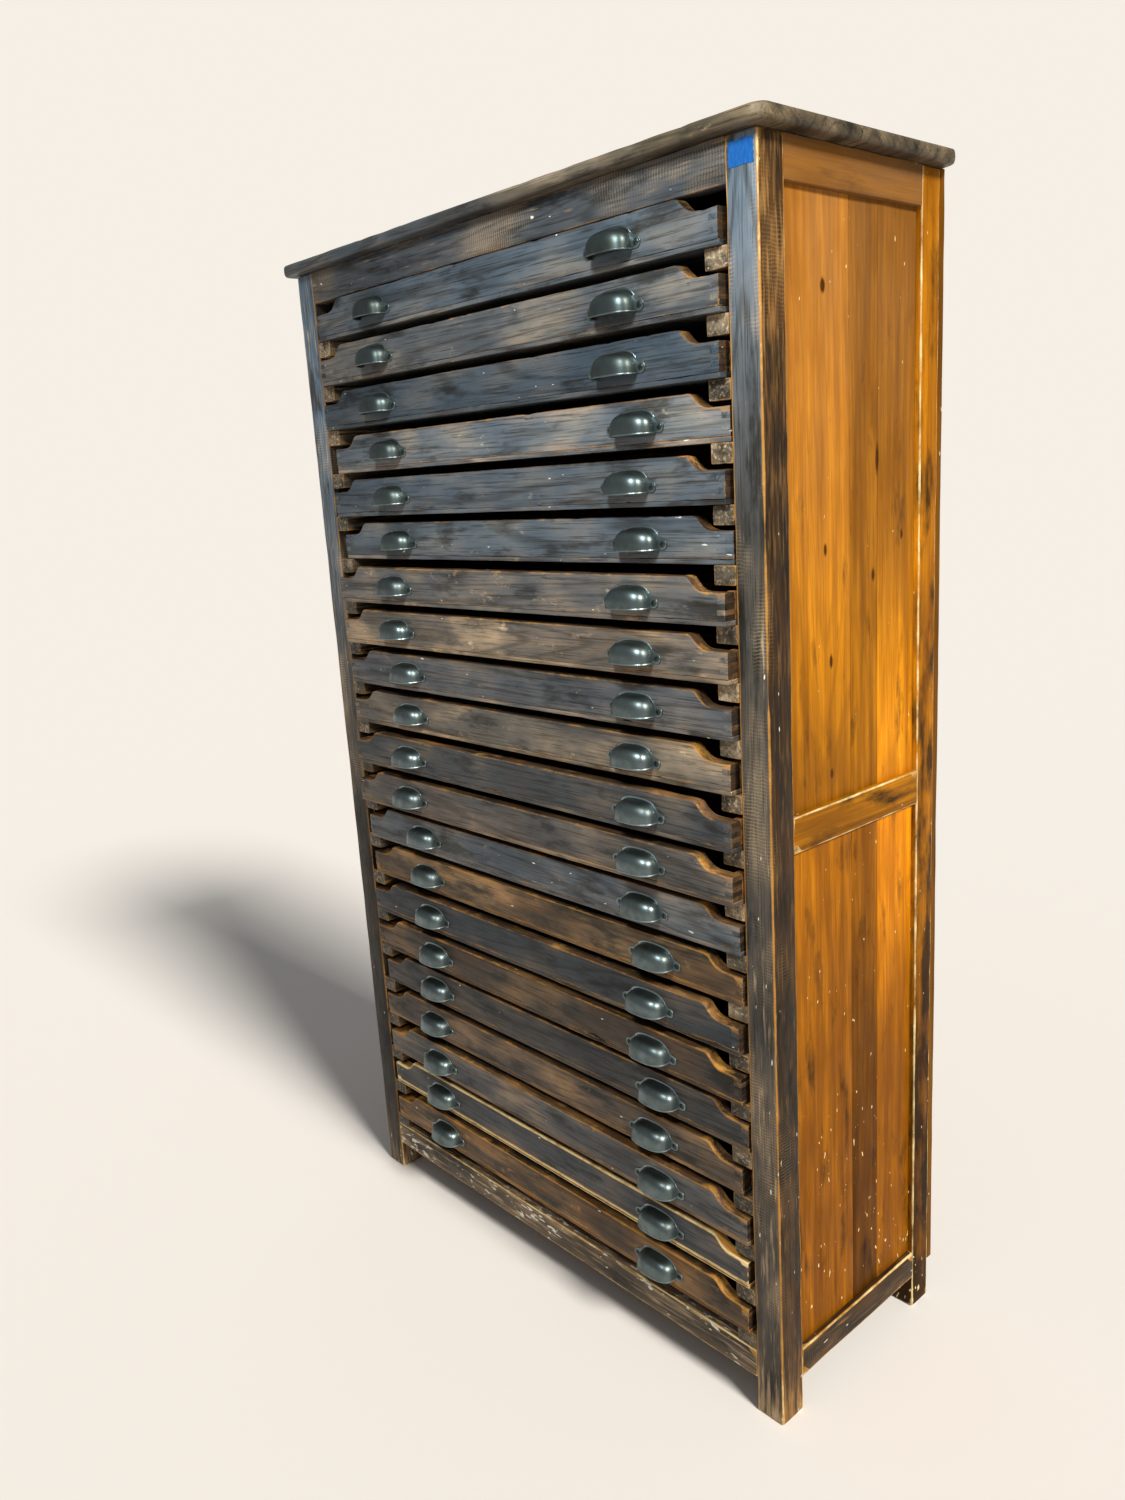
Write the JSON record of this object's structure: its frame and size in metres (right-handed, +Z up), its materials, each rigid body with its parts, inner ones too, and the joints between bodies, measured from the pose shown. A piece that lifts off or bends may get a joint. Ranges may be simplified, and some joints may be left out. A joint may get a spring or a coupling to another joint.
{
  "type": "type case cabinet",
  "caption": "Tall floor-standing wooden cabinet for printers' type: a post-and-rail frame with shallow scooped-front cases that slide on runners, each with two metal cup pulls",
  "frame": {"origin": "on the floor, at the centre of the whole object's box", "axes": "+Z up; the cases open towards -Y; +X is the right-hand side seen from the front"},
  "size_m": [0.968, 0.4116, 1.6],
  "materials": {
    "frame_wood": "old dark stain, worn satin",
    "case_wood": "worn dark stain with rubbed edges",
    "panel_wood": "amber varnish, satin",
    "raw_wood": "bare, dry, darkened by age",
    "aged_steel": "dark blue-grey, worn, half gloss",
    "blue_paper": "matt tape, blank"
  },
  "bodies": {
    "carcass": {"front_post_left": "frame_wood", "front_post_right": "frame_wood", "rear_post_left": "frame_wood", "rear_post_right": "frame_wood", "top_front_board": "frame_wood", "top_rear_board": "frame_wood", "front_top_rail": "frame_wood", "front_bottom_rail": "frame_wood", "back_top_rail": "frame_wood", "back_bottom_rail": "frame_wood", "left_side_rails": "frame_wood", "right_side_rails": "frame_wood", "left_side_panels": "panel_wood", "right_side_panels": "panel_wood", "back_boards": "panel_wood", "left_runners": "raw_wood", "right_runners": "raw_wood", "post_label": "blue_paper"},
    "drawer_01": {"drawer_01_case": "case_wood", "drawer_01_pulls": "aged_steel"},
    "drawer_02": {"drawer_02_case": "case_wood", "drawer_02_pulls": "aged_steel"},
    "drawer_03": {"drawer_03_case": "case_wood", "drawer_03_pulls": "aged_steel"},
    "drawer_04": {"drawer_04_case": "case_wood", "drawer_04_pulls": "aged_steel"},
    "drawer_05": {"drawer_05_case": "case_wood", "drawer_05_pulls": "aged_steel"},
    "drawer_06": {"drawer_06_case": "case_wood", "drawer_06_pulls": "aged_steel"},
    "drawer_07": {"drawer_07_case": "case_wood", "drawer_07_pulls": "aged_steel"},
    "drawer_08": {"drawer_08_case": "case_wood", "drawer_08_pulls": "aged_steel"},
    "drawer_09": {"drawer_09_case": "case_wood", "drawer_09_pulls": "aged_steel"},
    "drawer_10": {"drawer_10_case": "case_wood", "drawer_10_pulls": "aged_steel"},
    "drawer_11": {"drawer_11_case": "case_wood", "drawer_11_pulls": "aged_steel"},
    "drawer_12": {"drawer_12_case": "case_wood", "drawer_12_pulls": "aged_steel"},
    "drawer_13": {"drawer_13_case": "case_wood", "drawer_13_pulls": "aged_steel"},
    "drawer_14": {"drawer_14_case": "case_wood", "drawer_14_pulls": "aged_steel"},
    "drawer_15": {"drawer_15_case": "case_wood", "drawer_15_pulls": "aged_steel"},
    "drawer_16": {"drawer_16_case": "case_wood", "drawer_16_pulls": "aged_steel"},
    "drawer_17": {"drawer_17_case": "case_wood", "drawer_17_pulls": "aged_steel"},
    "drawer_18": {"drawer_18_case": "case_wood", "drawer_18_pulls": "aged_steel"},
    "drawer_19": {"drawer_19_case": "case_wood", "drawer_19_pulls": "aged_steel"},
    "drawer_20": {"drawer_20_case": "case_wood", "drawer_20_pulls": "aged_steel"},
    "drawer_21": {"drawer_21_case": "case_wood", "drawer_21_pulls": "aged_steel"}
  },
  "joints": [
    {"name": "drawer_01_slide", "type": "slide", "parent": "carcass", "child": "drawer_01", "axis": [0, -1, 0], "range_m": [-0.011, 0.239]},
    {"name": "drawer_02_slide", "type": "slide", "parent": "carcass", "child": "drawer_02", "axis": [0, -1, 0], "range_m": [-0.015, 0.235]},
    {"name": "drawer_03_slide", "type": "slide", "parent": "carcass", "child": "drawer_03", "axis": [0, -1, 0], "range_m": [-0.015, 0.235]},
    {"name": "drawer_04_slide", "type": "slide", "parent": "carcass", "child": "drawer_04", "axis": [0, -1, 0], "range_m": [-0.004, 0.246]},
    {"name": "drawer_05_slide", "type": "slide", "parent": "carcass", "child": "drawer_05", "axis": [0, -1, 0], "range_m": [-0.012, 0.238]},
    {"name": "drawer_06_slide", "type": "slide", "parent": "carcass", "child": "drawer_06", "axis": [0, -1, 0], "range_m": [-0.001, 0.249]},
    {"name": "drawer_07_slide", "type": "slide", "parent": "carcass", "child": "drawer_07", "axis": [0, -1, 0], "range_m": [-0.022, 0.228]},
    {"name": "drawer_08_slide", "type": "slide", "parent": "carcass", "child": "drawer_08", "axis": [0, -1, 0], "range_m": [-0.02, 0.23]},
    {"name": "drawer_09_slide", "type": "slide", "parent": "carcass", "child": "drawer_09", "axis": [0, -1, 0], "range_m": [-0.015, 0.235]},
    {"name": "drawer_10_slide", "type": "slide", "parent": "carcass", "child": "drawer_10", "axis": [0, -1, 0], "range_m": [-0.012, 0.238]},
    {"name": "drawer_11_slide", "type": "slide", "parent": "carcass", "child": "drawer_11", "axis": [0, -1, 0], "range_m": [-0.022, 0.228]},
    {"name": "drawer_12_slide", "type": "slide", "parent": "carcass", "child": "drawer_12", "axis": [0, -1, 0], "range_m": [-0.023, 0.227]},
    {"name": "drawer_13_slide", "type": "slide", "parent": "carcass", "child": "drawer_13", "axis": [0, -1, 0], "range_m": [-0.011, 0.239]},
    {"name": "drawer_14_slide", "type": "slide", "parent": "carcass", "child": "drawer_14", "axis": [0, -1, 0], "range_m": [-0.007, 0.243]},
    {"name": "drawer_15_slide", "type": "slide", "parent": "carcass", "child": "drawer_15", "axis": [0, -1, 0], "range_m": [-0.012, 0.238]},
    {"name": "drawer_16_slide", "type": "slide", "parent": "carcass", "child": "drawer_16", "axis": [0, -1, 0], "range_m": [-0.012, 0.238]},
    {"name": "drawer_17_slide", "type": "slide", "parent": "carcass", "child": "drawer_17", "axis": [0, -1, 0], "range_m": [-0.005, 0.245]},
    {"name": "drawer_18_slide", "type": "slide", "parent": "carcass", "child": "drawer_18", "axis": [0, -1, 0], "range_m": [-0.005, 0.245]},
    {"name": "drawer_19_slide", "type": "slide", "parent": "carcass", "child": "drawer_19", "axis": [0, -1, 0], "range_m": [-0.01, 0.24]},
    {"name": "drawer_20_slide", "type": "slide", "parent": "carcass", "child": "drawer_20", "axis": [0, -1, 0], "range_m": [-0.006, 0.244]},
    {"name": "drawer_21_slide", "type": "slide", "parent": "carcass", "child": "drawer_21", "axis": [0, -1, 0], "range_m": [-0.009, 0.241]}
  ]
}
